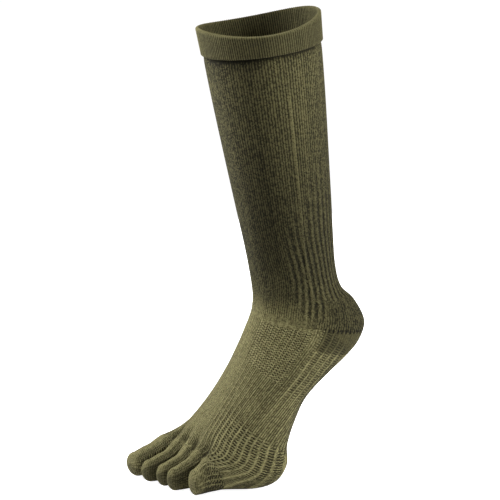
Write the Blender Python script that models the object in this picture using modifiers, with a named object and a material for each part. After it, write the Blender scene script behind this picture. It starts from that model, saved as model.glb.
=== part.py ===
"""Knitted five-toed sock for a left foot, in the form it has when worn.

The mouth of the sock is centred on the origin, the leg runs down and leans
toward the toes, and the foot stands on its toes and ball. The toes point to
-Y and the little toe is on the +X side. Every knitted zone is a shell of its
own: cuff, leg, heel, foot and the five toe pockets.

A position round the sock is a turn: 0 is the shin and the instep, 0.25 the
outer side, 0.5 the calf, the heel and the sole, 0.75 the inner side.
"""

import math

import bpy
from mathutils import Vector

# Leg sizes, in metres
LEG_LENGTH = 0.215
LEG_LEAN = math.radians(8.0)
CUFF_HEIGHT = 0.0245
CALF_DEPTH = 0.0985
CALF_WIDTH = 0.094
ANKLE_DEPTH = 0.0725
ANKLE_WIDTH = 0.060
MOUTH_DIP = 0.0065

# Foot sizes
ANKLE_HEIGHT = 0.179
HEEL_REACH = 0.0612
HEEL_WIDTH = 0.064
FOOT_REACH = 0.093
BALL_WIDTH = 0.094
BALL_SLANT = 0.005
TOE_LINE_SKEW = 0.33
TOP_SQUARENESS = 0.25
SOLE_SQUARENESS = 0.5

# Toe sizes
TOE_REACH = 0.036
TOE_HEIGHT = 0.0195
GROOVE_DEPTH = 0.0042
GROOVE_WIDTH = 0.0034
GROOVE_LENGTH = 0.017
TOE_TIP_SKEW = 0.1

# Fabric. Two zones meet at a seam: their walls' inner edges lean toward each
# other by a share of the wall, and SEAM_GAP stays clear between them.
WALL = 0.0014
CUFF_WALL = 0.0026
SEAM_GAP = 0.0003
SEAM_LEAN = 0.30
HEEL_LEAN = 0.45
RIB_COUNT = 43
RIB_HEIGHT = 0.0006
RIB_FREE_SHIN = 0.08

# Mesh density
SIDES = 2 * RIB_COUNT
TOE_ARC_SIDES = 6
TOE_WALL_SIDES = 3
TOE_PLACES = (0.5, 1, 2, 3)
TOE_CAP_RINGS = (0.45, 0.75, 0.92)

# Rows of faces, and the heel pocket's edge as a turn and its first and last sides
CUFF_ROWS = 1
HEEL_TOP_ROWS = 4
HEEL_ROWS = 4
ARCH_ROWS = 4
BALL_ROWS = 4
HEEL_POCKET_START = 0.265
HEEL_FIRST = round(HEEL_POCKET_START * SIDES)
HEEL_LAST = SIDES - HEEL_FIRST
STEP_AHEAD = 0.05
HALVINGS = 40

# Leg sections. cuff: share of CUFF_HEIGHT passed, and leg: share of the rest of
# LEG_LENGTH. calf: 0 is the ankle's girth and 1 the calf's. tilt: share of LEG_LEAN.
# rib: share of RIB_HEIGHT.
LEG_SECTIONS = (
    ("mouth", 0.0, 0.000, 1.13, 1.00, 0.0),
    ("cuff_edge", 1.0, 0.000, 1.01, 0.90, 0.3),
    ("calf", 1.0, 0.230, 0.81, 0.70, 1.0),
    ("mid_leg", 1.0, 0.458, 0.57, 0.60, 1.0),
    ("low_leg", 1.0, 0.684, 0.32, 0.45, 1.0),
    ("above_ankle", 1.0, 0.870, 0.10, 0.40, 1.0),
    ("ankle", 1.0, 1.000, 0.00, 0.40, 0.9),
)

# Foot sections, each a line from the instep (front) to the heel or sole (back).
# forward: share of FOOT_REACH from the ankle's centre, behind it of HEEL_REACH.
# drop: share of ANKLE_HEIGHT. girth: 0 is the heel's width and 1 the ball's.
# square: 0 is an oval and 1 nearly a box, at the sole. toe: share of the slant
# and skew of the toe line. rib: share of RIB_HEIGHT.
FOOT_SECTIONS = (
    ("heel_start", 0.365, 0.090, -0.670, 0.088, 0.00, 0.10, 0.00, 0.8),
    ("heel_upper", 0.360, 0.134, -0.865, 0.158, 0.02, 0.15, 0.00, 0.5),
    ("heel_back", 0.370, 0.180, -1.005, 0.258, 0.06, 0.20, 0.00, 0.0),
    ("heel_lower", 0.395, 0.226, -0.930, 0.345, 0.10, 0.25, 0.00, 0.0),
    ("heel_base", 0.430, 0.275, -0.760, 0.412, 0.15, 0.30, 0.02, 0.2),
    ("arch_start", 0.495, 0.360, -0.470, 0.496, 0.25, 0.35, 0.06, 0.6),
    ("arch", 0.600, 0.480, -0.150, 0.596, 0.42, 0.40, 0.12, 1.0),
    ("arch_low", 0.735, 0.600, 0.020, 0.702, 0.60, 0.45, 0.20, 1.0),
    ("metatarsal", 0.880, 0.710, 0.110, 0.808, 0.80, 0.50, 0.40, 1.0),
    ("ball_back", 0.945, 0.755, 0.165, 0.915, 0.94, 0.90, 0.60, 0.8),
    ("ball", 0.980, 0.781, 0.400, 1.000, 1.00, 1.40, 0.80, 0.6),
    ("toe_line", 1.010, 0.804, 0.900, 1.000, 1.00, 1.20, 1.00, 0.0),
)
GORE_SECTION = "heel_back"
GORE_BELOW = 0.5
HEEL_END_SECTION = "heel_base"

# Toes from the inner side. web: outer edge, share of half BALL_WIDTH. tip: place
# of the tip across, same share. reach: share of TOE_REACH. height: share of
# TOE_HEIGHT. width: share of the width at the toe line.
TOES = (
    ("toe_big", -0.400, -0.660, 0.98, 0.94, 0.95),
    ("toe_second", -0.075, -0.235, 0.99, 0.90, 0.98),
    ("toe_third", 0.240, 0.085, 0.88, 0.90, 0.98),
    ("toe_fourth", 0.560, 0.405, 0.86, 0.92, 0.98),
    ("toe_little", 1.000, 0.760, 0.63, 1.02, 0.92),
)

# Toe sections. along: share of the toe's reach. height and width: shares of the
# toe's own. lift: underside over the floor, share of its height. oval: how far
# the section has changed from its part of the toe line to an oval.
TOE_SECTIONS = (
    ("knuckle", 0.34, 1.45, 1.00, 0.06, 0.6),
    ("joint", 0.58, 1.30, 0.99, 0.02, 0.9),
    ("pad", 0.79, 1.10, 1.00, 0.00, 1.0),
)

# Colours of the yarn, linear
OLIVE = (0.090, 0.083, 0.037, 1.0)
OLIVE_DARK = (0.070, 0.064, 0.030, 1.0)
YARN_ROUGHNESS = 0.9

LEG_AXIS = Vector((0, math.sin(LEG_LEAN), -math.cos(LEG_LEAN)))
ANKLE_CENTRE = LEG_LENGTH * LEG_AXIS
FLOOR = ANKLE_CENTRE.z - ANKLE_HEIGHT
HALF_BALL = BALL_WIDTH / 2
SEAM = SEAM_GAP + SEAM_LEAN * WALL
HEEL_SEAM = SEAM_GAP + HEEL_LEAN * WALL


def mix(a, b, share):
    """Value a share of the way from a to b."""
    return a + (b - a) * share


def smooth(value):
    """Ease a value between 0 and 1, flat at both ends."""
    value = min(max(value, 0.0), 1.0)
    return value * value * (3 - 2 * value)


def through(values, place):
    """Smooth curve through equally numbered values, read at a fractional place."""
    index = min(max(int(math.floor(place)), 0), len(values) - 2)
    share = place - index
    before = values[max(index - 1, 0)]
    start, end = values[index], values[index + 1]
    after = values[min(index + 2, len(values) - 1)]
    slope_in = (end - before) / 2
    slope_out = (after - start) / 2
    return (
        start * (2 * share**3 - 3 * share**2 + 1)
        + slope_in * (share**3 - 2 * share**2 + share)
        + end * (3 * share**2 - 2 * share**3)
        + slope_out * (share**3 - share**2)
    )


class Section:
    """One ring round the sock, given by its front and back points and half its width."""

    def __init__(self, name, front, back, half_width, square, toe, rib, dip=0.0):
        self.name = name
        self.front = front
        self.back = back
        self.half_width = half_width
        self.square = square
        self.toe = toe
        self.rib = rib
        self.dip = dip

    def values(self):
        """The numbers that run smoothly from section to section."""
        return (
            self.front.y, self.front.z, self.back.y, self.back.z,
            self.half_width, self.square, self.toe, self.rib, self.dip,
        )


def leg_sections():
    """Sections from the mouth to the ankle."""
    sections = []
    for name, cuff, leg, calf, tilt, rib in LEG_SECTIONS:
        centre = (cuff * CUFF_HEIGHT + leg * (LEG_LENGTH - CUFF_HEIGHT)) * LEG_AXIS
        half_depth = mix(ANKLE_DEPTH, CALF_DEPTH, calf) / 2
        half_width = mix(ANKLE_WIDTH, CALF_WIDTH, calf) / 2
        lean = tilt * LEG_LEAN
        across = Vector((0, math.cos(lean), math.sin(lean)))
        dip = MOUTH_DIP if name == "mouth" else 0.0
        sections.append(
            Section(name, centre - half_depth * across, centre + half_depth * across,
                    half_width, 0.0, 0.0, rib, dip)
        )
    return sections


def foot_point(forward, drop):
    """Point in the middle plane of the foot, from the ankle's centre."""
    reach = FOOT_REACH if forward > 0 else HEEL_REACH
    return ANKLE_CENTRE + Vector((0, -forward * reach, -drop * ANKLE_HEIGHT))


def foot_sections():
    """Sections from the top of the heel to the line of the toes."""
    sections = []
    for name, front, front_drop, back, back_drop, girth, square, toe, rib in FOOT_SECTIONS:
        half_width = mix(HEEL_WIDTH, BALL_WIDTH, girth) / 2
        sections.append(
            Section(name, foot_point(front, front_drop), foot_point(back, back_drop),
                    half_width, square, toe, rib)
        )
    return sections


class Form:
    """The sock's outer surface, read by a place along it and a turn round it."""

    def __init__(self):
        self.sections = leg_sections() + foot_sections()
        self.columns = list(zip(*(section.values() for section in self.sections)))
        self.places = {section.name: i for i, section in enumerate(self.sections)}

    def point(self, place, turn, puff=0.0):
        """Point of the surface, puff outward from it in the ring's own plane.

        A whole place is a section, and a fraction lies between two of them.
        """
        values = [through(column, place) for column in self.columns]
        front_y, front_z, back_y, back_z, half_width, square, toe, rib, dip = values
        angle = 2 * math.pi * turn
        deep, wide = math.cos(angle), math.sin(angle)
        power = 1 / (1 + square * (TOP_SQUARENESS if deep > 0 else SOLE_SQUARENESS))
        deep = math.copysign(abs(deep) ** power, deep)
        wide = math.copysign(abs(wide) ** power, wide)
        front = Vector((0, front_y, front_z))
        back = Vector((0, back_y, back_z))
        arm = (front - back) / 2
        arm_out = arm.normalized()
        swell = puff + rib * RIB_HEIGHT / 2 * self.rib_wave(turn)
        x = wide * (half_width + swell)
        point = (front + back) / 2 + deep * (arm + swell * arm_out) + Vector((x, 0, 0))
        across = x / HALF_BALL
        top = (1 + deep) / 2
        point.y += toe * TOE_LINE_SKEW * x
        point.z -= toe * BALL_SLANT / 2 * across * top
        point.z -= dip * wide * wide
        point -= self.groove(place, x) * deep * arm_out
        return point

    def rib_wave(self, turn):
        """Ridges and furrows round the sock, fading out over the shin."""
        away = min(turn % 1, -turn % 1)
        return math.cos(2 * math.pi * RIB_COUNT * turn) * smooth((away - RIB_FREE_SHIN) / RIB_FREE_SHIN)

    def groove(self, place, x):
        """Depth of the furrows between the toes, which start behind the toe line."""
        line = self.places["toe_line"]
        ball, toe_line = self.sections[line - 1], self.sections[line]
        behind = (line - place) * (toe_line.front - ball.front).length
        fade = smooth(1 - behind / GROOVE_LENGTH)
        depth = 0.0
        for name, web, *_ in TOES[:-1]:
            depth += math.exp(-(((x - web * HALF_BALL) / GROOVE_WIDTH) ** 2))
        return GROOVE_DEPTH * fade * depth

    def past(self, place, turn):
        """Point of the surface that lies one seam gap further along the sock."""
        here = self.point(place, turn)
        ahead = self.point(place + STEP_AHEAD, turn)
        return here + SEAM * (ahead - here).normalized()

    def turn_at(self, place, x, low, high):
        """Turn between low and high where the ring reaches x, found by halving."""
        rising = self.point(place, high).x > self.point(place, low).x
        for _ in range(HALVINGS):
            middle = (low + high) / 2
            if (self.point(place, middle).x < x) == rising:
                low = middle
            else:
                high = middle
        return (low + high) / 2


def new_material(name, colour):
    """Matt knitted yarn in one colour."""
    material = bpy.data.materials.new(name)
    material.use_nodes = True
    shader = material.node_tree.nodes["Principled BSDF"]
    shader.inputs["Base Color"].default_value = colour
    shader.inputs["Roughness"].default_value = YARN_ROUGHNESS
    shader.inputs["Metallic"].default_value = 0.0
    return material


def loft(name, rings, wall, colour, collection, closed=True, tip=False):
    """Shell between rings of points, its wall inside them.

    The rings run along the sock, each counted from the shin over the outer side.
    closed joins each ring's ends, and tip closes the last ring with a cap.
    """
    count = len(rings[0])
    points = [point for ring in rings for point in ring]
    faces = []
    for row in range(len(rings) - 1):
        for side in range(count if closed else count - 1):
            a = row * count + side
            b = row * count + (side + 1) % count
            faces.append((a, a + count, b + count, b))
    if tip:
        last = (len(rings) - 1) * count
        points.append(sum(rings[-1], Vector()) / count)
        for side in range(count):
            faces.append((last + side, len(points) - 1, last + (side + 1) % count))
    mesh = bpy.data.meshes.new(name)
    mesh.from_pydata(points, [], faces)
    mesh.shade_smooth()
    part = bpy.data.objects.new(name, mesh)
    part.data.materials.append(new_material(name, colour))
    collection.objects.link(part)
    solidify = part.modifiers.new("Wall", "SOLIDIFY")
    solidify.thickness = wall
    solidify.offset = -1
    solidify.use_even_offset = True
    return part


def even_ring(form, place, puff=0.0, first=0, last=SIDES):
    """Points round a ring at equal turns, one on each ridge and one in each furrow."""
    return [form.point(place, side / SIDES, puff) for side in range(first, last)]


def ring_past(form, place):
    """The same ring, one seam gap further along the sock."""
    return [form.past(place, side / SIDES) for side in range(SIDES)]


def places_between(start, end, rows):
    """Places of the rows' edges, evenly spaced."""
    return [mix(start, end, row / rows) for row in range(rows + 1)]


def add_cuff(form, collection):
    """Thick doubled band round the mouth, down to the cuff's lower edge."""
    puff = CUFF_WALL - WALL
    places = places_between(form.places["mouth"], form.places["cuff_edge"], CUFF_ROWS)
    rings = [even_ring(form, place, puff) for place in places]
    loft("cuff", rings, CUFF_WALL, OLIVE_DARK, collection)


def gore_place(form):
    """Place of the gore line: GORE_BELOW of the way to the section after its own."""
    return form.places[GORE_SECTION] + GORE_BELOW


def add_leg(form, collection):
    """Ribbed tube from the cuff over the calf and ankle to the heel's gore line."""
    places = [form.places[name] for name in ("calf", "mid_leg", "low_leg", "ankle")]
    places += places_between(form.places["heel_start"], gore_place(form), HEEL_TOP_ROWS)
    rings = [ring_past(form, form.places["cuff_edge"])]
    rings += [even_ring(form, place) for place in places]
    loft("leg", rings, WALL, OLIVE, collection)


def heel_edges(form):
    """Places where the heel pocket starts and ends along the sock."""
    return gore_place(form), form.places[HEEL_END_SECTION]


def pull_in(rings, distance):
    """Move the outermost points of a patch toward its middle."""
    rings = [[point.copy() for point in ring] for ring in rings]
    for ring in rings:
        for edge, inside in ((0, 1), (-1, -2)):
            ring[edge] += (ring[inside] - ring[edge]).normalized() * distance
    for edge, inside in ((0, 1), (-1, -2)):
        for point, target in zip(rings[edge], rings[inside]):
            point += (target - point).normalized() * distance
    return rings


def add_heel(form, collection):
    """Plain pocket under the gore line that holds the underside of the heel."""
    start, end = heel_edges(form)
    rings = [
        even_ring(form, place, first=HEEL_FIRST, last=HEEL_LAST + 1)
        for place in places_between(start, end, HEEL_ROWS)
    ]
    loft("heel", pull_in(rings, HEEL_SEAM), WALL, OLIVE_DARK, collection, closed=False)


def add_foot(form, collection):
    """Tube from the gore line to the toe line, with the heel pocket left out."""
    start, end = heel_edges(form)
    ball_back, line = form.places["ball_back"], form.places["toe_line"]
    places = places_between(start, end, HEEL_ROWS)[1:]
    places += places_between(end, ball_back, ARCH_ROWS)[1:]
    places += places_between(ball_back, line, BALL_ROWS)[1:]
    rings = [ring_past(form, start)] + [even_ring(form, place) for place in places]
    part = loft("foot", rings, WALL, OLIVE, collection)
    drop_patch(part, HEEL_ROWS, HEEL_FIRST, HEEL_LAST)


def drop_patch(part, rows, first, last):
    """Take the faces of the first rows, between two sides, out of a loft."""
    mesh = part.data
    kept = [
        tuple(face.vertices)
        for number, face in enumerate(mesh.polygons)
        if number // SIDES >= rows or not first <= number % SIDES < last
    ]
    used = sorted({corner for face in kept for corner in face})
    renumbered = {old: new for new, old in enumerate(used)}
    points = [mesh.vertices[old].co.copy() for old in used]
    faces = [tuple(renumbered[corner] for corner in face) for face in kept]
    mesh.clear_geometry()
    mesh.from_pydata(points, [], faces)
    mesh.shade_smooth()


def toe_root(form, inner_web, outer_web):
    """Ring of the toe's opening: its parts of the toe line and its side walls.

    The big toe has no inner side wall and the little toe no outer one, because
    the foot's own side runs on into them.
    """
    inner_top, inner_bottom = web_turns(form, inner_web + SEAM_GAP / 2)
    outer_top, outer_bottom = web_turns(form, outer_web - SEAM_GAP / 2)
    if inner_web <= -HALF_BALL:
        return (wall_points(form, outer_top, outer_bottom)
                + arc(form, outer_bottom, outer_top + 1, 3 * TOE_ARC_SIDES))
    if outer_web >= HALF_BALL:
        return (arc(form, inner_top, inner_bottom, 3 * TOE_ARC_SIDES)
                + wall_points(form, inner_bottom, inner_top))
    return (arc(form, inner_top, outer_top, TOE_ARC_SIDES)
            + wall_points(form, outer_top, outer_bottom)
            + arc(form, outer_bottom, inner_bottom, TOE_ARC_SIDES)
            + wall_points(form, inner_bottom, inner_top))


def web_turns(form, x):
    """Turns at which the toe line passes a place across the foot, above and below."""
    line = form.places["toe_line"]
    return form.turn_at(line, x, -0.25, 0.25), form.turn_at(line, x, 0.25, 0.75)


def arc(form, start, end, sides):
    """Points along the toe line from one turn to another, without the last."""
    line = form.places["toe_line"]
    return [form.past(line, mix(start, end, side / sides)) for side in range(sides)]


def wall_points(form, start, end):
    """Points straight across the toe line from one turn to another, without the last."""
    line = form.places["toe_line"]
    a, b = form.past(line, start), form.past(line, end)
    return [a.lerp(b, side / TOE_WALL_SIDES) for side in range(TOE_WALL_SIDES)]


def extent(points, axis):
    """Lowest and highest value of points along one axis."""
    values = [point[axis] for point in points]
    return min(values), max(values)


def toe_stations(root, toe):
    """Centre, width, height and roundness of a toe's rings, read by place."""
    name, web, tip, reach, height, width = toe
    left, right = extent(root, 0)
    low, high = extent(root, 2)
    toe_width = width * (right - left)
    toe_height = height * TOE_HEIGHT
    front = sum(root, Vector()).y / len(root)
    stations = [((left + right) / 2, front, (low + high) / 2, right - left, high - low, 0.0)]
    for section, along, tall, wide, lift, oval in TOE_SECTIONS:
        stations.append((
            mix((left + right) / 2, tip * HALF_BALL, along),
            front - along * reach * TOE_REACH,
            FLOOR + (lift + tall / 2) * toe_height,
            wide * toe_width,
            tall * toe_height,
            oval,
        ))
    return list(zip(*stations))


def add_toe(form, toe, inner_web, collection):
    """Pocket of one toe, from its opening in the toe line to its rounded tip."""
    root = toe_root(form, inner_web, toe[1] * HALF_BALL)
    columns = toe_stations(root, toe)
    x, y, z, root_width, root_height, oval = [through(column, 0) for column in columns]
    shape = [((point.x - x) / root_width, point.y - y, (point.z - z) / root_height) for point in root]
    last = len(TOE_SECTIONS)
    cap_length = (1 - TOE_SECTIONS[-1][1]) * toe[3] * TOE_REACH
    rings = [root]
    for place in TOE_PLACES:
        rings.append(toe_ring(shape, [through(column, place) for column in columns]))
    for share in TOE_CAP_RINGS:
        values = [column[last] for column in columns]
        values[1] -= share * cap_length
        values[3] *= math.sqrt(1 - share * share)
        values[4] *= math.sqrt(1 - share * share)
        rings.append(toe_ring(shape, values))
    loft(toe[0], rings, WALL, OLIVE, collection, tip=True)


def toe_ring(shape, values):
    """Ring of a toe, between the shape of its root and an oval."""
    x, y, z, width, height, oval = values
    ring = []
    for side, behind, up in shape:
        angle = math.atan2(side, up)
        across = mix(side, math.sin(angle) / 2, oval) * width
        rise = mix(up, math.cos(angle) / 2, oval) * height
        lag = mix(behind, TOE_TIP_SKEW * across, smooth(oval))
        ring.append(Vector((x + across, y + lag, z + rise)))
    return ring


def main():
    for leftover in list(bpy.data.objects):
        bpy.data.objects.remove(leftover)
    collection = bpy.data.collections.new("toe_sock")
    bpy.context.scene.collection.children.link(collection)
    form = Form()
    add_cuff(form, collection)
    add_leg(form, collection)
    add_heel(form, collection)
    add_foot(form, collection)
    inner_web = -HALF_BALL
    for toe in TOES:
        add_toe(form, toe, inner_web, collection)
        inner_web = toe[1] * HALF_BALL


main()
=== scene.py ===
"""Studio scene of a knitted five-toed sock for a left foot, in its worn form.

Each knitted zone is a shell with its own ribs, stitches and eyelets, laid on
one form that is read by a place along the sock and a turn round it. A turn of
0 is the shin and the instep, 0.25 the outer side, 0.5 the calf, the heel and
the sole, and 0.75 the inner side.
"""

import logging
import math
from dataclasses import dataclass, field
from enum import Enum

import bpy
import numpy as np
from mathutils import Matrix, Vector


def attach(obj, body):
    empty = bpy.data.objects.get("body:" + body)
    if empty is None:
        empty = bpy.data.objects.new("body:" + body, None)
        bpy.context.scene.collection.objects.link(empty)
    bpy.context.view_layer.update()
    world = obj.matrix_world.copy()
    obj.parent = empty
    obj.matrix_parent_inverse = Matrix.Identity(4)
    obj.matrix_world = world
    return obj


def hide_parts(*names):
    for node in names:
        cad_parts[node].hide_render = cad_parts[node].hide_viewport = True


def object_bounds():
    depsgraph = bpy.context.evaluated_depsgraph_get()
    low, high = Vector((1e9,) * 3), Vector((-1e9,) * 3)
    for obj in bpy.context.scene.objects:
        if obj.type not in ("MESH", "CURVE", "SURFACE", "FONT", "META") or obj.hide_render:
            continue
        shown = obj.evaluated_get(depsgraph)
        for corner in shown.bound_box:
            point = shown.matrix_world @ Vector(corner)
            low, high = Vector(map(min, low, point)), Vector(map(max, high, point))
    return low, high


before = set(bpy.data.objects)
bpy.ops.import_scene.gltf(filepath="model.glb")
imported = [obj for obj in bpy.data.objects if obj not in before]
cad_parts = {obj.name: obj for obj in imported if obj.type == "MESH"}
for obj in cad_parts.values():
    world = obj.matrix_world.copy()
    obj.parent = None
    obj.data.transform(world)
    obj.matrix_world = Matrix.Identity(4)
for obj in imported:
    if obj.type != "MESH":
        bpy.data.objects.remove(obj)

CAD_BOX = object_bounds()
LOG = logging.getLogger("toe_sock")

Number = float | np.ndarray
Colour = tuple[float, float, float, float]
Span = tuple[float, float]
Band = tuple[float, float, float]
Zones = dict[str, np.ndarray]
Socket = bpy.types.NodeSocket
Sockets = dict[str, Socket]
Value = Socket | float | Colour


class Slot(Enum):
    """Finish slots of the record."""

    LEG = "leg_knit"
    CUFF = "cuff_knit"
    HEEL = "heel_knit"
    FOOT = "foot_knit"
    TOE = "toe_knit"


def smooth(value: Number) -> Number:
    """Ease a value between 0 and 1, flat at both ends."""
    value = np.clip(value, 0.0, 1.0)
    return value * value * (3 - 2 * value)


def mix(start: Number, end: Number, share: Number) -> Number:
    """Value a share of the way from start to end."""
    return start + (end - start) * share


def band(value: Number, low: Number, high: Number, soft: Number) -> Number:
    """Mask that is 1 between low and high and fades over a soft width outside."""
    return smooth((value - low) / soft + 1) * smooth((high - value) / soft + 1)


def rise(value: Number, start: Number, length: Number) -> Number:
    """Ease from 0 at the start to 1 a length after it."""
    return smooth((value - start) / length)


def fall(value: Number, end: Number, length: Number) -> Number:
    """Ease from 1 a length before the end to 0 at it."""
    return smooth((end - value) / length)


def bell(value: Number, centre: Number, width: Number) -> Number:
    """Rounded mask about a centre."""
    return np.exp(-(((value - centre) / width) ** 2))


def from_shin(turn: np.ndarray) -> np.ndarray:
    """Share of a turn between a point and the shin, the same on both sides."""
    turn = np.mod(turn, 1.0)
    return np.minimum(turn, 1.0 - turn)


def through(table: np.ndarray, place: Number) -> np.ndarray:
    """Smooth curve through the rows of a table, read at fractional places.

    Args:
        table: one row of values a section.
        place: places, where a whole number is a row.

    Returns:
        The values at each place, in a last axis.
    """
    place = np.asarray(place, float)
    index = np.clip(np.floor(place).astype(int), 0, len(table) - 2)
    share = (place - index)[..., None]
    start, end = table[index], table[index + 1]
    slope_in = (end - table[np.maximum(index - 1, 0)]) / 2
    slope_out = (table[np.minimum(index + 2, len(table) - 1)] - start) / 2
    return (
        start * (2 * share**3 - 3 * share**2 + 1)
        + slope_in * (share**3 - 2 * share**2 + share)
        + end * (3 * share**2 - 2 * share**3)
        + slope_out * (share**3 - share**2)
    )


# name, cuff share, share of the rest of the leg, calf girth, share of the lean
LEG_SECTIONS = (
    ("mouth", 0.0, 0.000, 1.13, 1.00),
    ("cuff_edge", 1.0, 0.000, 1.01, 0.90),
    ("calf", 1.0, 0.230, 0.81, 0.70),
    ("mid_leg", 1.0, 0.458, 0.57, 0.60),
    ("low_leg", 1.0, 0.684, 0.32, 0.45),
    ("above_ankle", 1.0, 0.870, 0.10, 0.40),
    ("ankle", 1.0, 1.000, 0.00, 0.40),
)

# name, front forward and drop, back forward and drop, girth, square, toe
FOOT_SECTIONS = (
    ("heel_start", 0.365, 0.090, -0.670, 0.088, 0.00, 0.10, 0.00),
    ("heel_upper", 0.360, 0.134, -0.865, 0.158, 0.02, 0.15, 0.00),
    ("heel_back", 0.370, 0.180, -1.005, 0.258, 0.06, 0.20, 0.00),
    ("heel_lower", 0.395, 0.226, -0.930, 0.345, 0.10, 0.25, 0.00),
    ("heel_base", 0.430, 0.275, -0.760, 0.412, 0.15, 0.30, 0.02),
    ("arch_start", 0.495, 0.360, -0.470, 0.496, 0.25, 0.35, 0.06),
    ("arch", 0.600, 0.480, -0.150, 0.596, 0.42, 0.40, 0.12),
    ("arch_low", 0.735, 0.600, 0.020, 0.702, 0.60, 0.45, 0.20),
    ("metatarsal", 0.880, 0.710, 0.110, 0.808, 0.80, 0.50, 0.40),
    ("ball_back", 0.945, 0.755, 0.165, 0.915, 0.94, 0.90, 0.60),
    ("ball", 0.980, 0.781, 0.400, 1.000, 1.00, 1.40, 0.80),
    ("toe_line", 1.010, 0.804, 0.900, 1.000, 1.00, 1.20, 1.00),
)

PLACES = {row[0]: place for place, row in enumerate(LEG_SECTIONS + FOOT_SECTIONS)}

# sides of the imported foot, and the side where its heel pocket starts
FOOT_SIDES = 86
HEEL_FIRST = 23

# half ball widths from the foot's middle to its edge
FOOT_EDGE = 1.0


@dataclass(frozen=True)
class ToeShape:
    """One toe's shares of the toe sizes.

    web is its outer edge and tip its tip across the foot, in half ball widths.
    """

    name: str
    web: float
    tip: float
    reach: float
    height: float
    width: float


TOES = (
    ToeShape("toe_big", -0.400, -0.660, 0.98, 0.94, 0.95),
    ToeShape("toe_second", -0.075, -0.235, 0.99, 0.90, 0.98),
    ToeShape("toe_third", 0.240, 0.085, 0.88, 0.90, 0.98),
    ToeShape("toe_fourth", 0.560, 0.405, 0.86, 0.92, 0.98),
    ToeShape("toe_little", 1.000, 0.760, 0.63, 1.02, 0.92),
)

# along, height, width, lift, oval
TOE_SECTIONS = (
    (0.34, 1.45, 1.00, 0.06, 0.6),
    (0.58, 1.30, 0.99, 0.02, 0.9),
    (0.79, 1.10, 1.00, 0.00, 1.0),
)


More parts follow.
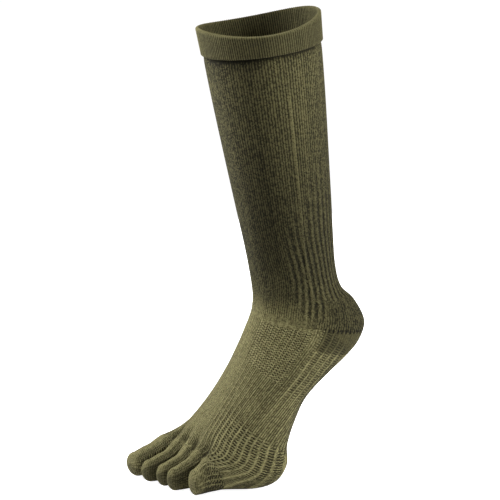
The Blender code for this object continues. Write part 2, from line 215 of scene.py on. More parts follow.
@dataclass
class SockForm:
    """Smooth outer surface of the worn sock, without its knitted relief."""

    leg_length: float = 0.215
    leg_lean: float = math.radians(8.0)
    cuff_height: float = 0.0245
    calf_depth: float = 0.0985
    calf_width: float = 0.094
    ankle_depth: float = 0.0725
    ankle_width: float = 0.060
    mouth_dip: float = 0.0065
    ankle_height: float = 0.179
    heel_reach: float = 0.0612
    heel_width: float = 0.064
    foot_reach: float = 0.093
    ball_width: float = 0.094
    ball_slant: float = 0.005
    toe_line_skew: float = 0.33
    groove_depth: float = 0.0042
    groove_width: float = 0.0034
    groove_length: float = 0.017
    wall: float = 0.0014
    step: float = 0.01
    girth_samples: int = 721
    top_square: float = 0.25
    sole_square: float = 0.5
    rows_a_place: int = 20
    measured_turns: int = 48
    halvings: int = 40
    table: np.ndarray = field(init=False)
    lengths: np.ndarray = field(init=False)

    def __post_init__(self) -> None:
        """Work out the sections and the lengths along the sock."""
        self.table = np.array(self.leg_rows() + self.foot_rows())
        self.lengths = self.measure()

    @property
    def axis(self) -> np.ndarray:
        """Direction down the leg, in the middle plane."""
        return np.array([math.sin(self.leg_lean), -math.cos(self.leg_lean)])

    @property
    def ankle(self) -> np.ndarray:
        """Ankle's centre, in the middle plane."""
        return self.leg_length * self.axis

    @property
    def floor(self) -> float:
        """Height of what the toes and the ball stand on."""
        return float(self.ankle[1]) - self.ankle_height

    @property
    def half_ball(self) -> float:
        """Half the width of the ball."""
        return self.ball_width / 2

    def leg_rows(self) -> list[list[float]]:
        """Sections of the leg.

        Returns:
            A row for each: front, back, half width, square, toe, dip.
        """
        rows = []
        for name, cuff, leg, calf, tilt in LEG_SECTIONS:
            along = cuff * self.cuff_height + leg * (self.leg_length - self.cuff_height)
            arm = mix(self.ankle_depth, self.calf_depth, calf) / 2
            lean = tilt * self.leg_lean
            across = np.array([math.cos(lean), math.sin(lean)])
            front = along * self.axis - arm * across
            back = along * self.axis + arm * across
            width = mix(self.ankle_width, self.calf_width, calf) / 2
            dip = self.mouth_dip if name == "mouth" else 0.0
            rows.append([*front, *back, width, 0.0, 0.0, dip])
        return rows

    def foot_point(self, forward: float, drop: float) -> np.ndarray:
        """Point in the middle plane, from the ankle's centre."""
        reach = self.foot_reach if forward > 0 else self.heel_reach
        return self.ankle + np.array([-forward * reach, -drop * self.ankle_height])

    def foot_rows(self) -> list[list[float]]:
        """Sections of the foot.

        Returns:
            A row for each, with the leg's columns.
        """
        rows = []
        for _, front, front_drop, back, back_drop, girth, square, toe in FOOT_SECTIONS:
            width = mix(self.heel_width, self.ball_width, girth) / 2
            start = self.foot_point(front, front_drop)
            end = self.foot_point(back, back_drop)
            rows.append([*start, *end, width, square, toe, 0.0])
        return rows

    def groove(self, place: np.ndarray, x: np.ndarray) -> np.ndarray:
        """Furrows between the toes, which start behind the toe line.

        Args:
            place: places along the sock.
            x: how far out each point lies, in metres.

        Returns:
            Their depth in metres.
        """
        start, end = (self.foot_point(*row[1:3]) for row in FOOT_SECTIONS[-2:])
        behind = (PLACES["toe_line"] - place) * np.linalg.norm(end - start)
        depth = sum(bell(x, toe.web * self.half_ball, self.groove_width) for toe in TOES[:-1])
        return self.groove_depth * smooth(1 - behind / self.groove_length) * depth

    def points(self, place: Number, turn: Number) -> np.ndarray:
        """Points of the surface.

        Args:
            place: places along the sock, where a whole number is a section.
            turn: turns round it, of a shape that goes with place.

        Returns:
            Points in metres, in a last axis of three.
        """
        place, turn = np.broadcast_arrays(np.asarray(place, float), np.asarray(turn, float))
        values = through(self.table, place)
        front, back = values[..., 0:2], values[..., 2:4]
        half_width, square, toe, dip = (values[..., i] for i in range(4, 8))
        deep, wide = np.cos(2 * np.pi * turn), np.sin(2 * np.pi * turn)
        power = 1 / (1 + square * np.where(deep > 0, self.top_square, self.sole_square))
        deep = np.sign(deep) * np.abs(deep) ** power
        wide = np.sign(wide) * np.abs(wide) ** power
        arm = (front - back) / 2
        out = arm / np.linalg.norm(arm, axis=-1, keepdims=True)
        x = wide * half_width
        flat = (front + back) / 2 + deep[..., None] * arm
        flat = flat - (self.groove(place, x) * deep)[..., None] * out
        slant = toe * self.ball_slant / 2 * x / self.half_ball * (1 + deep) / 2
        y = flat[..., 0] + toe * self.toe_line_skew * x
        z = flat[..., 1] - slant - dip * wide * wide
        return np.stack([x, y, z], axis=-1)

    def normals(self, place: np.ndarray, turn: np.ndarray) -> np.ndarray:
        """Outward directions of the surface.

        Args:
            place: places along the sock.
            turn: turns round it.

        Returns:
            Unit vectors, in a last axis of three.
        """
        place, turn = np.broadcast_arrays(np.asarray(place, float), np.asarray(turn, float))
        aside = self.step / 4
        round_it = self.points(place, turn + aside) - self.points(place, turn - aside)
        low, high = place - self.step, place + self.step
        along = self.points(np.minimum(high, PLACES["toe_line"]), turn)
        along = along - self.points(np.maximum(low, 0.0), turn)
        out = np.cross(along, round_it)
        return out / np.linalg.norm(out, axis=-1, keepdims=True)

    def measure(self) -> np.ndarray:
        """Mean length from the mouth, measured over all turns.

        Returns:
            A row of places, and a row with the length to each in metres.
        """
        place = np.linspace(0, PLACES["toe_line"], PLACES["toe_line"] * self.rows_a_place + 1)
        turn = np.linspace(0, 1, self.measured_turns, endpoint=False)
        points = self.points(place[:, None], turn[None, :])
        steps = np.linalg.norm(np.diff(points, axis=0), axis=-1).mean(axis=1)
        return np.stack([place, np.concatenate([[0.0], np.cumsum(steps)])])

    def girth_share(self, place: Number, turn: Number) -> np.ndarray:
        """Share of the ring's length from the shin to each turn.

        Args:
            place: places along the sock, one for each row.
            turn: turns of the columns, of a shape that goes with place.

        Returns:
            The shares, in rows and columns, whole turns counted on.
        """
        place, turn = np.broadcast_arrays(np.atleast_2d(place), np.atleast_2d(turn))
        samples = np.linspace(0, 1, self.girth_samples)
        rings = self.points(place[:, :1], samples[None, :])
        lengths = np.cumsum(np.linalg.norm(np.diff(rings, axis=1), axis=-1), axis=1)
        lengths = np.concatenate([np.zeros((len(place), 1)), lengths], axis=1)
        shares = [np.interp(at % 1, samples, row / row[-1]) for at, row in zip(turn, lengths)]
        return np.stack(shares) + np.floor(turn)

    def run(self, points: np.ndarray) -> np.ndarray:
        """Length down each column of a grid of points, from its first row."""
        steps = np.linalg.norm(np.diff(points, axis=0), axis=-1)
        return np.concatenate([np.zeros_like(steps[:1]), np.cumsum(steps, axis=0)])

    def along(self, place: Number) -> Number:
        """Length along the sock at each place, in metres."""
        return np.interp(place, self.lengths[0], self.lengths[1])

    def turn_at(self, x: float, low: float, high: float) -> float:
        """Turn where the toe line reaches a given x, found by halving.

        Args:
            x: how far out the point lies, in metres.
            low: turn on one side of it.
            high: turn on its other side.

        Returns:
            The turn.
        """
        line = PLACES["toe_line"]
        rising = self.points(line, high)[0] > self.points(line, low)[0]
        for _ in range(self.halvings):
            middle = (low + high) / 2
            if (self.points(line, middle)[0] < x) == rising:
                low = middle
            else:
                high = middle
        return (low + high) / 2


@dataclass(frozen=True)
class Patch:
    """Soft-edged patch of tone, between places along the sock and turns from the shin."""

    strength: float
    place: Band
    away: Band = (0.0, 0.5, 1.0)

    def over(self, place: np.ndarray, away: np.ndarray) -> np.ndarray:
        """Strength of the patch at each place and turn from the shin."""
        return self.strength * band(away, *self.away) * band(place, *self.place)


@dataclass
class KnitRelief:
    """Ribs, ridges and stitch zones of the leg and the foot, with the painted light and shade in
    their colour.

    A name that ends in place, start or end is read along the sock, and one that ends
    in away round it, in turns from the shin. A Span is where an ease starts, or where it
    ends if it falls, and its length. A Band is a mask's two ends and the soft width
    outside them.
    """

    form: SockForm
    gore: float = PLACES["heel_back"] + 0.5

    fine_ribs: int = 120
    fine_height: float = 0.00034
    # strength of the painted shade in the fine ribs' furrows and the painted light on their crests
    fine_rib_shading: float = 0.7
    fine_fade: float = 0.65
    fine_fade_place: Span = (6.5, 1.5)
    fine_full_away: Band = (0.13, 0.34, 0.09)

    coarse_ribs: int = 42
    coarse_height: float = 0.00050
    # strength of the painted shade in the wide ribs' furrows and the painted light on their crests
    coarse_rib_shading: float = 0.65
    coarse_start: float = 3.4
    coarse_start_ease: float = 2.2
    coarse_sooner: float = 0.9
    coarse_sooner_away: Span = (0.28, 0.04)
    coarse_end: float = 9.0
    coarse_end_ease: float = 0.5
    coarse_shorter: float = 1.3
    coarse_shorter_away: Span = (0.26, 0.05)
    coarse_edge_ease: float = 0.02
    coarse_edge_shift: float = 0.075
    coarse_edge_place: Span = (3.4, 1.4)

    side_seam: float = 0.270
    seam_width: float = 0.0035
    seam_height: float = 0.00055
    seam_place: Band = (2.2, 7.6, 0.8)

    rib_bend: float = 0.036
    rib_bend_place: Span = (6.0, 3.2)
    toe_bend: float = 0.080
    toe_bend_place: Span = (12.0, 4.0)
    ankle_lean: float = 0.020
    lean_start_place: Span = (4.4, 1.6)
    lean_end_place: Span = (9.4, 3.2)

    plain_place: Band = (9.0, 9.7, 0.2)
    plain_away: Span = (0.26, 0.03)

    arch_ribs: int = 38
    arch_height: float = 0.00012
    arch_start: float = 10.6
    arch_start_ease: float = 1.8
    arch_sooner: float = 1.6
    arch_quicker: float = 0.8
    arch_front_away: Span = (0.11, 0.05)
    arch_end_place: Span = (17.9, 1.0)

    rail_height: float = 0.00025
    strip_depth: float = 0.8
    strip_away: Band = (0.266, 0.375, 0.012)
    strip_place: Band = (9.6, 13.0, 0.4)
    strip_slant: float = 11.0
    fore_side: float = 0.19
    fore_start: float = 14.2
    fore_start_ease: float = 0.4
    fore_sooner: float = 7.0
    fore_later: float = 6.0
    fore_slower: float = 5.0
    fore_away: Span = (0.02, 0.11)

    mesh_away: Band = (0.075, 0.238, 0.010)
    mesh_place: Band = (9.8, 12.3, 0.12)
    mesh_slant: float = 2.6
    mesh_level: float = 0.09
    mesh_rails: float = 0.4
    join_away: Band = (0.262, 0.5, 0.01)

    foot_front_place: Span = (6.6, 3.0)
    foot_front_away: Span = (0.32, 0.17)
    foot_below_place: Span = (10.2, 1.3)
    foot_below_away: Span = (0.43, 0.10)
    # painted light over the upper leg, most of all on the calf's sides
    calf_painted_light: float = 0.16
    calf_painted_light_place: Span = (4.9, 3.9)
    calf_side_painted_light: float = 0.22
    calf_side_painted_light_away: Span = (0.16, 0.08)
    calf_behind: float = 0.5
    calf_behind_away: Span = (0.29, 0.04)
    ankle_lift: Patch = Patch(0.08, place=(6.6, 7.5, 0.7))
    # painted shade in a band near the shin, on the middle of the leg
    shin_painted_shade: Patch = Patch(0.08, place=(3.3, 5.2, 0.7), away=(0.10, 0.17, 0.03))

    tuck: float = 0.0009
    tuck_fall: float = 10.0
    # painted shadow under the cuff: a broad band at the front, and a thin dark line just under its
    # edge
    tuck_painted_shadow: float = 1.9
    tuck_painted_shadow_away: Band = (0.07, 0.17, 0.08)
    tuck_shadow_line: float = 0.8
    tuck_shadow_line_away: Band = (0.10, 0.36, 0.05)
    # painted shade on the underside behind the ball
    sole_painted_shade: Patch = Patch(0.5, place=(11.8, 15.2, 0.8), away=(0.38, 0.5, 0.04))
    # painted light on the top of the foot
    instep_painted_light: Patch = Patch(0.2, place=(10.2, 16.0, 1.2), away=(0.02, 0.17, 0.05))

    def knit_turn(self, place: np.ndarray, turn: np.ndarray) -> np.ndarray:
        """Turn that the ribs follow: evenly spaced, then bent at the ankle and toward the toes."""
        return self.form.girth_share(place, turn) + self.bend(place) * np.sin(2 * np.pi * turn)

    def bend(self, place: Number) -> Number:
        """Course of the ribs on the sides, which lean back at the ankle and then run forward.

        Args:
            place: places along the sock.

        Returns:
            How far they have moved toward the instep, as a turn.
        """
        back = self.ankle_lean * rise(place, *self.lean_start_place)
        back = back * fall(place, *self.lean_end_place)
        forward = self.rib_bend * rise(place, *self.rib_bend_place)
        return forward + self.toe_bend * rise(place, *self.toe_bend_place) - back

    def coarse(self, place: np.ndarray, turn: np.ndarray) -> np.ndarray:
        """Mask of the wide ribs on the back half of the lower leg.

        Args:
            place: places along the sock.
            turn: turns round it.

        Returns:
            The mask, which starts sooner and ends sooner toward the back.
        """
        away = from_shin(turn)
        first = self.coarse_start - self.coarse_sooner * rise(away, *self.coarse_sooner_away)
        last = self.coarse_end - self.coarse_shorter * rise(away, *self.coarse_shorter_away)
        edge = self.side_seam - self.coarse_edge_shift * rise(place, *self.coarse_edge_place)
        along = rise(place, first, self.coarse_start_ease) * fall(place, last, self.coarse_end_ease)
        return along * rise(away, edge, self.coarse_edge_ease)

    def arch(self, place: np.ndarray, turn: np.ndarray) -> np.ndarray:
        """Mask of the wide ribs under the ankle band, down to the toes.

        Args:
            place: places along the sock.
            turn: turns round it.

        Returns:
            The mask, which starts sooner on the instep.
        """
        front = fall(from_shin(turn), *self.arch_front_away)
        start_ease = self.arch_start_ease - self.arch_quicker * front
        start = smooth((place - self.arch_start + self.arch_sooner * front) / start_ease)
        return start * fall(place, *self.arch_end_place)

    def ladder(self, place: np.ndarray, turn: np.ndarray) -> np.ndarray:
        """Mask of the ladder stitches: strips behind the ankle panels, and the forefoot.

        Args:
            place: places along the sock.
            turn: turns round it.

        Returns:
            The mask, which starts sooner toward the instep and later on the sole.
        """
        away = from_shin(turn)
        start, end, soft = self.strip_place
        start = start + self.strip_slant * (away - self.strip_away[0])
        strip = self.strip_depth * band(away, *self.strip_away) * band(place, start, end, soft)
        front, behind = np.maximum(self.fore_side - away, 0), np.maximum(away - self.fore_side, 0)
        first = self.fore_start - self.fore_sooner * front + self.fore_later * behind
        fore = rise(place, first, self.fore_start_ease + self.fore_slower * front)
        return np.maximum(strip, fore * rise(away, *self.fore_away))

    def mesh(self, place: np.ndarray, turn: np.ndarray) -> np.ndarray:
        """Mask of the mesh panels on both sides of the ankle.

        Args:
            place: places along the sock.
            turn: turns round it.

        Returns:
            The mask, whose lower edge slants.
        """
        away = from_shin(turn)
        start, end, soft = self.mesh_place
        end = end + self.mesh_slant * (away - self.mesh_level)
        return band(away, *self.mesh_away) * band(place, start, end, soft)

    def join(self, place: np.ndarray, turn: np.ndarray) -> np.ndarray:
        """Mask of the turns at which holes follow the gore line."""
        return band(from_shin(turn), *self.join_away) * np.ones_like(place)

    def plain(self, place: np.ndarray, turn: np.ndarray) -> np.ndarray:
        """Mask of the plain band over the ankle, just above the gore line."""
        return band(place, *self.plain_place) * fall(from_shin(turn), *self.plain_away)

    def lift(self, place: np.ndarray, turn: np.ndarray) -> np.ndarray:
        """Rise of the tone from the leg's to the foot's, with painted light on the calf and painted
        shade near the shin.

        Args:
            place: places along the sock.
            turn: turns round it.

        Returns:
            0 for the leg's tone and 1 for the foot's, a little over 0 with painted light over the
            upper leg, most of all on the calf's sides, and a little under it with painted shade
            near the shin.
        """
        away = from_shin(turn)
        front = rise(place, *self.foot_front_place) * fall(away, *self.foot_front_away)
        below = rise(place, *self.foot_below_place) * fall(away, *self.foot_below_away)
        behind = self.calf_behind * rise(away, *self.calf_behind_away)
        side = rise(away, *self.calf_side_painted_light_away) * (1 - behind)
        # painted light on the upper leg and the calf's sides
        calf = fall(place, *self.calf_painted_light_place) * (self.calf_painted_light + self.calf_side_painted_light * side)
        patches = np.maximum(front, below) + calf + self.ankle_lift.over(place, away)
        # less the painted shade near the shin
        return patches - self.shin_painted_shade.over(place, away)

    def shade(self, place: np.ndarray, away: np.ndarray, under_cuff: np.ndarray) -> np.ndarray:
        """Painted shade and light in the knit's colour: painted shadow under the cuff's tuck,
        painted shade in the hollow of the sole and painted light on the instep.

        Args:
            place: places along the sock.
            away: turns from the shin.
            under_cuff: how near each place is to the cuff's lower edge.

        Returns:
            How much painted shade each point gets, under 0 where painted light lifts the instep.
        """
        # painted shadow under the cuff's edge
        line = self.tuck_shadow_line * under_cuff**2 * band(away, *self.tuck_shadow_line_away)
        tuck = self.tuck_painted_shadow * np.maximum(under_cuff * band(away, *self.tuck_painted_shadow_away), line)
        return tuck + self.sole_painted_shade.over(place, away) - self.instep_painted_light.over(place, away)

    def heights(self, place: np.ndarray, turn: np.ndarray) -> tuple[np.ndarray, np.ndarray]:
        """Relief over the smooth form, and the painted shading that goes with it.

        Args:
            place: places along the sock.
            turn: turns round it.

        Returns:
            Height in metres, and painted shading from -1, painted shade in a rib's furrow, to 1,
            painted light on its crest, with a lighter side seam, less the painted shade and light
            of shade().
        """
        away = from_shin(turn)
        coarse, arch, mesh = (mask(place, turn) for mask in (self.coarse, self.arch, self.mesh))
        ladder = np.maximum(self.ladder(place, turn) * (1 - mesh), self.mesh_rails * mesh)
        ladder = ladder * (place > self.gore)
        fine = (1 - coarse) * (1 - arch) * (1 - ladder) * (1 - self.plain(place, turn))
        edges = 1 - band(away, *self.fine_full_away)
        fine = fine * (1 - self.fine_fade * edges * fall(place, *self.fine_fade_place))
        wave = 2 * np.pi * self.knit_turn(place, turn)
        parts = (
            (fine, self.fine_height, self.fine_rib_shading, np.cos(self.fine_ribs * wave)),
            (coarse, self.coarse_height, self.coarse_rib_shading, np.cos(self.coarse_ribs * wave)),
        )
        height = sum(mask * size / 2 * ribs for mask, size, _, ribs in parts)
        # painted shade in the rib furrows and painted light on the rib crests
        ridge = sum(mask * tone * ribs for mask, _, tone, ribs in parts)
        rails = (arch * self.arch_height + ladder * self.rail_height) / 2
        rails = rails * np.cos(self.arch_ribs * wave)
        seam = bell(away, self.side_seam, self.seam_width) * band(place, *self.seam_place)
        below = place - PLACES["cuff_edge"]
        under_cuff = np.exp(-np.maximum(below, 0) * self.tuck_fall) * (below >= 0)
        height = height + rails + self.seam_height * seam - self.tuck * under_cuff
        return height, np.clip(ridge + seam, -1, 1) - self.shade(place, away, under_cuff)


@dataclass
class Skin:
    """Grid of points of one piece, with what its material reads.

    lengthwise and round_it hold the knit coordinates, with one more column than
    the points where the piece closes round. tip says that the last ring is closed to
    a point, and kept which faces stay.
    """

    outer: np.ndarray
    inner: np.ndarray
    round_it: np.ndarray
    lengthwise: np.ndarray
    zones: Zones
    closed: bool = True
    tip: bool = False
    kept: np.ndarray | None = None

    @property
    def size(self) -> tuple[int, int]:
        """Number of rows of points, and of points in a row."""
        return self.outer.shape[:2]

    @property
    def count(self) -> int:
        """Number of points of one skin."""
        return self.outer.shape[0] * self.outer.shape[1]

    def build(self, name: str) -> bpy.types.Object:
        """Make the closed shell of outer skin, inner skin and edges.

        Args:
            name: name of the piece.

        Returns:
            The piece, linked to the scene.
        """
        quads, quad_knit = self.skin_faces()
        strips, strip_knit = self.edge_faces(quads)
        faces = np.concatenate([quads, quads[:, ::-1] + self.count, strips]).tolist()
        knit = [quad_knit, quad_knit[:, ::-1], strip_knit]
        points = [self.outer.reshape(-1, 3), self.inner.reshape(-1, 3)]
        if self.tip:
            tip_faces, tip_knit = self.tip_faces()
            faces += tip_faces
            knit += tip_knit
            points += [skin[-1].mean(axis=0)[None] for skin in (self.outer, self.inner)]
        mesh = bpy.data.meshes.new(name)
        mesh.from_pydata(np.concatenate(points).tolist(), [], faces)
        corners = np.concatenate([part.reshape(-1, 2) for part in knit])
        layer = mesh.uv_layers.new(name="Knit")
        layer.data.foreach_set("uv", corners.astype(np.float32).ravel())
        self.mark_zones(mesh)
        mesh.shade_smooth()
        piece = bpy.data.objects.new(name, mesh)
        bpy.context.scene.collection.objects.link(piece)
        return piece

    def skin_faces(self) -> tuple[np.ndarray, np.ndarray]:
        """Faces of the outer skin.

        Returns:
            The points of each face, and the knit coordinates at its corners.
        """
        rows, columns = self.size
        spans = columns if self.closed else columns - 1
        row, side = np.meshgrid(np.arange(rows - 1), np.arange(spans), indexing="ij")
        if self.kept is not None:
            row, side = row[self.kept], side[self.kept]
        row, side = row.ravel(), side.ravel()
        row = np.stack([row, row + 1, row + 1, row], axis=1)
        side = np.stack([side, side, side + 1, side + 1], axis=1)
        knit = np.stack([self.round_it[row, side], self.lengthwise[row, side]], axis=-1)
        return row * columns + side % columns, knit

    def free_edges(self, quads: np.ndarray) -> np.ndarray:
        """Edges of the outer skin with one face, less the ring that a tip closes.

        Args:
            quads: the outer skin's faces.

        Returns:
            The two ends of each edge, in the order of its face.
        """
        edges = np.concatenate([quads[:, [i, (i + 1) % 4]] for i in range(4)])
        start, end = edges.T
        alone = ~np.isin(start * self.count + end, end * self.count + start)
        if self.tip:
            alone &= edges.min(axis=1) < self.count - self.size[1]
        return edges[alone]

    def edge_faces(self, quads: np.ndarray) -> tuple[np.ndarray, np.ndarray]:
        """Faces between the two skins along their free edges.

        Args:
            quads: the outer skin's faces.

        Returns:
            The points of each face, and the knit coordinates at its corners.
        """
        columns = self.size[1]
        start, end = self.free_edges(quads).T
        strips = np.stack([end, start, start + self.count, end + self.count], axis=1)
        knit = np.stack([self.round_it[:, :columns], self.lengthwise[:, :columns]], axis=-1)
        return strips, knit.reshape(-1, 2)[strips % self.count]

    def tip_faces(self) -> tuple[list[list[int]], list[np.ndarray]]:
        """Faces that close the last ring of each skin to a point.

        Returns:
            The points of each face, and the knit coordinates at its corners.
        """
        columns = self.size[1]
        last, tip = self.count - columns, 2 * self.count
        faces, knit = [], []
        for at in range(columns):
            a, b = last + at, last + (at + 1) % columns
            faces += [[a, tip, b], [b + self.count, tip + 1, a + self.count]]
            here = [self.round_it[-1, at], self.lengthwise[-1, at]]
            there = [self.round_it[-1, at + 1], self.lengthwise[-1, at]]
            knit.append(np.array([here, here, there, there, here, here]))
        return faces, knit

    def mark_zones(self, mesh: bpy.types.Mesh) -> None:
        """Keep the zone masks on the mesh, the same on both skins.

        Args:
            mesh: the piece's mesh.
        """
        for key, values in self.zones.items():
            values = np.broadcast_to(values, self.size).ravel()
            both = np.concatenate([values, values] + ([values[-1:]] * 2 if self.tip else []))
            mask = mesh.attributes.new(key, "FLOAT", "POINT")
            mask.data.foreach_set("value", both.astype(np.float32))


class Nodes:
    """Short way to write a shader node tree."""

    def __init__(self, tree: bpy.types.NodeTree) -> None:
        """Keep the tree that the nodes go in."""
        self.tree = tree

    def add(self, kind: str, **settings: object) -> bpy.types.Node:
        """Put a node in the tree.

        Args:
            kind: the node's type.
            settings: its settings by name.

        Returns:
            The node.
        """
        node = self.tree.nodes.new(kind)
        for key, value in settings.items():
            setattr(node, key, value)
        return node

    def join(self, value: Value, socket: Socket) -> None:
        """Link a socket to an input, or set a number or colour on it.

        Args:
            value: what the input is to read.
            socket: the input.
        """
        if isinstance(value, Socket):
            self.tree.links.new(value, socket)
        else:
            socket.default_value = value

    def maths(self, kind: str, *values: Value, clamp: bool = False) -> Socket:
        """Work out one sum with a Math node.

        Args:
            kind: the node's operation.
            values: what it reads, in order.
            clamp: whether the result is kept between 0 and 1.

        Returns:
            The result.
        """
        node = self.add("ShaderNodeMath", operation=kind, use_clamp=clamp)
        for value, socket in zip(values, node.inputs):
            self.join(value, socket)
        return node.outputs[0]

    def times(self, first: Value, second: Value, clamp: bool = False) -> Socket:
        """Product of two values."""
        return self.maths("MULTIPLY", first, second, clamp=clamp)

    def less(self, first: Value, second: Value, clamp: bool = False) -> Socket:
        """First value less the second."""
        return self.maths("SUBTRACT", first, second, clamp=clamp)

    def plus(self, base: Value, value: Value, share: Value, clamp: bool = False) -> Socket:
        """Base with a share of a value added."""
        return self.maths("MULTIPLY_ADD", value, share, base, clamp=clamp)

    def ease(self, value: Value, low: Value, high: Value) -> Socket:
        """Smooth step of a value.

        Args:
            value: the value.
            low: where the result is 0.
            high: where it is 1.

        Returns:
            The result.
        """
        node = self.add("ShaderNodeMapRange", interpolation_type="SMOOTHSTEP")
        for key, number in (("Value", value), ("From Min", low), ("From Max", high)):
            self.join(number, node.inputs[key])
        return node.outputs["Result"]

    def blend(self, share: Value, first: Value, second: Value) -> Socket:
        """Mix of two colours.

        Args:
            share: share of the second colour.
            first: the first colour.
            second: the second colour.

        Returns:
            The mixed colour.
        """
        node = self.add("ShaderNodeMix", data_type="RGBA")
        for value, at in ((share, 0), (first, 6), (second, 7)):
            self.join(value, node.inputs[at])
        return node.outputs[2]

    def dice(self, *cell: Value) -> Socket:
        """Draw a number for each cell of a row, or of a grid.

        Args:
            cell: one or two values, whose whole parts say which cell it is.

        Returns:
            A number from 0 to 1 that is the same all over a cell.
        """
        if len(cell) == 1:
            noise = self.add("ShaderNodeTexWhiteNoise", noise_dimensions="1D")
            self.join(self.maths("FLOOR", *cell), noise.inputs["W"])
            return noise.outputs["Value"]
        corner = self.add("ShaderNodeCombineXYZ")
        for value, socket in zip(cell, corner.inputs):
            self.join(self.maths("FLOOR", value), socket)
        noise = self.add("ShaderNodeTexWhiteNoise", noise_dimensions="2D")
        self.join(corner.outputs[0], noise.inputs["Vector"])
        return noise.outputs["Value"]

    def knit_place(self) -> tuple[Socket, Socket]:
        """Read the knit map.

        Returns:
            Turn round the piece, and length along it.
        """
        split = self.add("ShaderNodeSeparateXYZ")
        self.join(self.add("ShaderNodeUVMap", uv_map="Knit").outputs[0], split.inputs[0])
        return split.outputs[0], split.outputs[1]


class KnitGroup:
    """Shader node group that reads the knit map and is built once."""

    name: str
    inputs: dict[str, float]
    outputs: tuple[str, ...]

    def __init__(self) -> None:
        """Make the group's sockets, and join its outputs to what work gives."""
        self.tree = bpy.data.node_groups.new(self.name, "ShaderNodeTree")
        sockets = self.tree.interface
        for key, value in self.inputs.items():
            socket = sockets.new_socket(key, in_out="INPUT", socket_type="NodeSocketFloat")
            socket.default_value = value
        for key in self.outputs:
            sockets.new_socket(key, in_out="OUTPUT", socket_type="NodeSocketFloat")
        self.nodes = Nodes(self.tree)
        given, result = self.nodes.add("NodeGroupInput"), self.nodes.add("NodeGroupOutput")
        self.given = {key: given.outputs[key] for key in self.inputs}
        self.turn, self.length = self.nodes.knit_place()
        for key, value in self.work().items():
            self.nodes.join(value, result.inputs[key])

    def work(self) -> Sockets:
        """Fill the group with nodes, and give the value of each output by name."""
        raise NotImplementedError


class StitchGroup(KnitGroup):
    """Rows of V-shaped stitches: their height, a shade for each and a streak for each wale."""

    name = "knit_stitches"
    inputs = {"Wales": 208.0, "Course": 0.001, "Slant": 0.45}
    outputs = ("Height", "Shade", "Streak")
    leg_share = 0.5
    crown_share = 0.4
    course_depth = 0.4

    def work(self) -> Sockets:
        """Fill the group with nodes.

        Returns:
            The value of each output by name.
        """
        nodes, given = self.nodes, self.given
        wale = nodes.times(self.turn, given["Wales"])
        across = nodes.maths("FRACT", wale)
        off = nodes.maths("ABSOLUTE", nodes.less(across, 0.5))
        course = nodes.maths("DIVIDE", self.length, given["Course"])
        row = nodes.plus(course, off, nodes.times(given["Slant"], -2.0))
        wave = nodes.maths("COSINE", nodes.times(row, 2 * math.pi))
        crown = nodes.maths("SINE", nodes.times(across, math.pi))
        leg = nodes.maths("ABSOLUTE", nodes.maths("SINE", nodes.times(across, 2 * math.pi)))
        body = nodes.plus(nodes.times(crown, self.crown_share), leg, self.leg_share)
        height = nodes.times(body, nodes.plus(1 - self.course_depth, wave, self.course_depth))
        return {"Height": height, "Shade": nodes.dice(wale, row), "Streak": nodes.dice(wale)}


class LadderGroup(KnitGroup):
    """Columns between light rails, with dark furrows beside the rails and rungs of holes.

    A Span here is where an ease is 0 and where it is 1, in half columns from a rail, or
    for the rungs in the height of their wave.
    """

    name = "knit_ladder"
    inputs = {"Count": 38.0, "Pitch": 0.0022, "Slant": -0.8, "Step": 0.0, "Post": 0.24}
    outputs = ("Hole", "Rail", "Furrow")
    rail: Span = (0.20, 0.05)
    furrow_off = 0.36
    furrow: Span = (0.15, 0.03)
    middle: Span = (0.86, 0.98)
    middle_depth = 0.6
    rung: Span = (-0.30, 0.45)
    post_ease = 0.2
    least_depth = 0.8
    more_depth = 0.4

    def work(self) -> Sockets:
        """Fill the group with nodes.

        Returns:
            The value of each output by name.
        """
        nodes, given = self.nodes, self.given
        column = nodes.plus(0.5, self.turn, given["Count"])
        across = nodes.maths("FRACT", column)
        off = nodes.times(nodes.maths("ABSOLUTE", nodes.less(across, 0.5)), 2.0)
        rail = nodes.ease(off, *self.rail)
        beside = nodes.ease(nodes.maths("ABSOLUTE", nodes.less(off, self.furrow_off)), *self.furrow)
        middle = nodes.times(nodes.ease(off, *self.middle), self.middle_depth)
        furrow = nodes.maths("MAXIMUM", beside, middle)
        row = nodes.maths("DIVIDE", self.length, given["Pitch"])
        row = nodes.plus(row, across, given["Slant"])
        odd = nodes.maths("FLOOR", nodes.maths("FLOORED_MODULO", column, 2.0))
        row = nodes.plus(row, odd, given["Step"])
        wave = nodes.maths("COSINE", nodes.times(nodes.less(row, 0.5), 2 * math.pi))
        chance = nodes.dice(nodes.times(column, 2.0), row)
        depth = nodes.plus(self.least_depth, chance, self.more_depth)
        between = nodes.ease(off, given["Post"], nodes.maths("ADD", given["Post"], self.post_ease))
        rungs = nodes.times(nodes.ease(wave, *self.rung), between)
        return {"Hole": nodes.times(rungs, depth, clamp=True), "Rail": rail, "Furrow": furrow}


class HoleRowGroup(KnitGroup):
    """One row of holes at a length along the sock, where two zones join."""

    name = "join_holes"
    inputs = {"Count": 68.0, "Line": 0.27, "Width": 0.0020}
    outputs = ("Hole",)
    crest = 1.7
    dot: Span = (-0.2, 0.8)

    def work(self) -> Sockets:
        """Fill the group with nodes.

        Returns:
            The value of each output by name.
        """
        nodes, given = self.nodes, self.given
        around = nodes.times(nodes.times(self.turn, given["Count"]), 2 * math.pi)
        off = nodes.maths("DIVIDE", nodes.less(self.length, given["Line"]), given["Width"])
        near = nodes.plus(self.crest, nodes.times(off, off), -self.crest, clamp=True)
        dots = nodes.ease(nodes.maths("COSINE", around), *self.dot)
        return {"Hole": nodes.times(near, dots)}


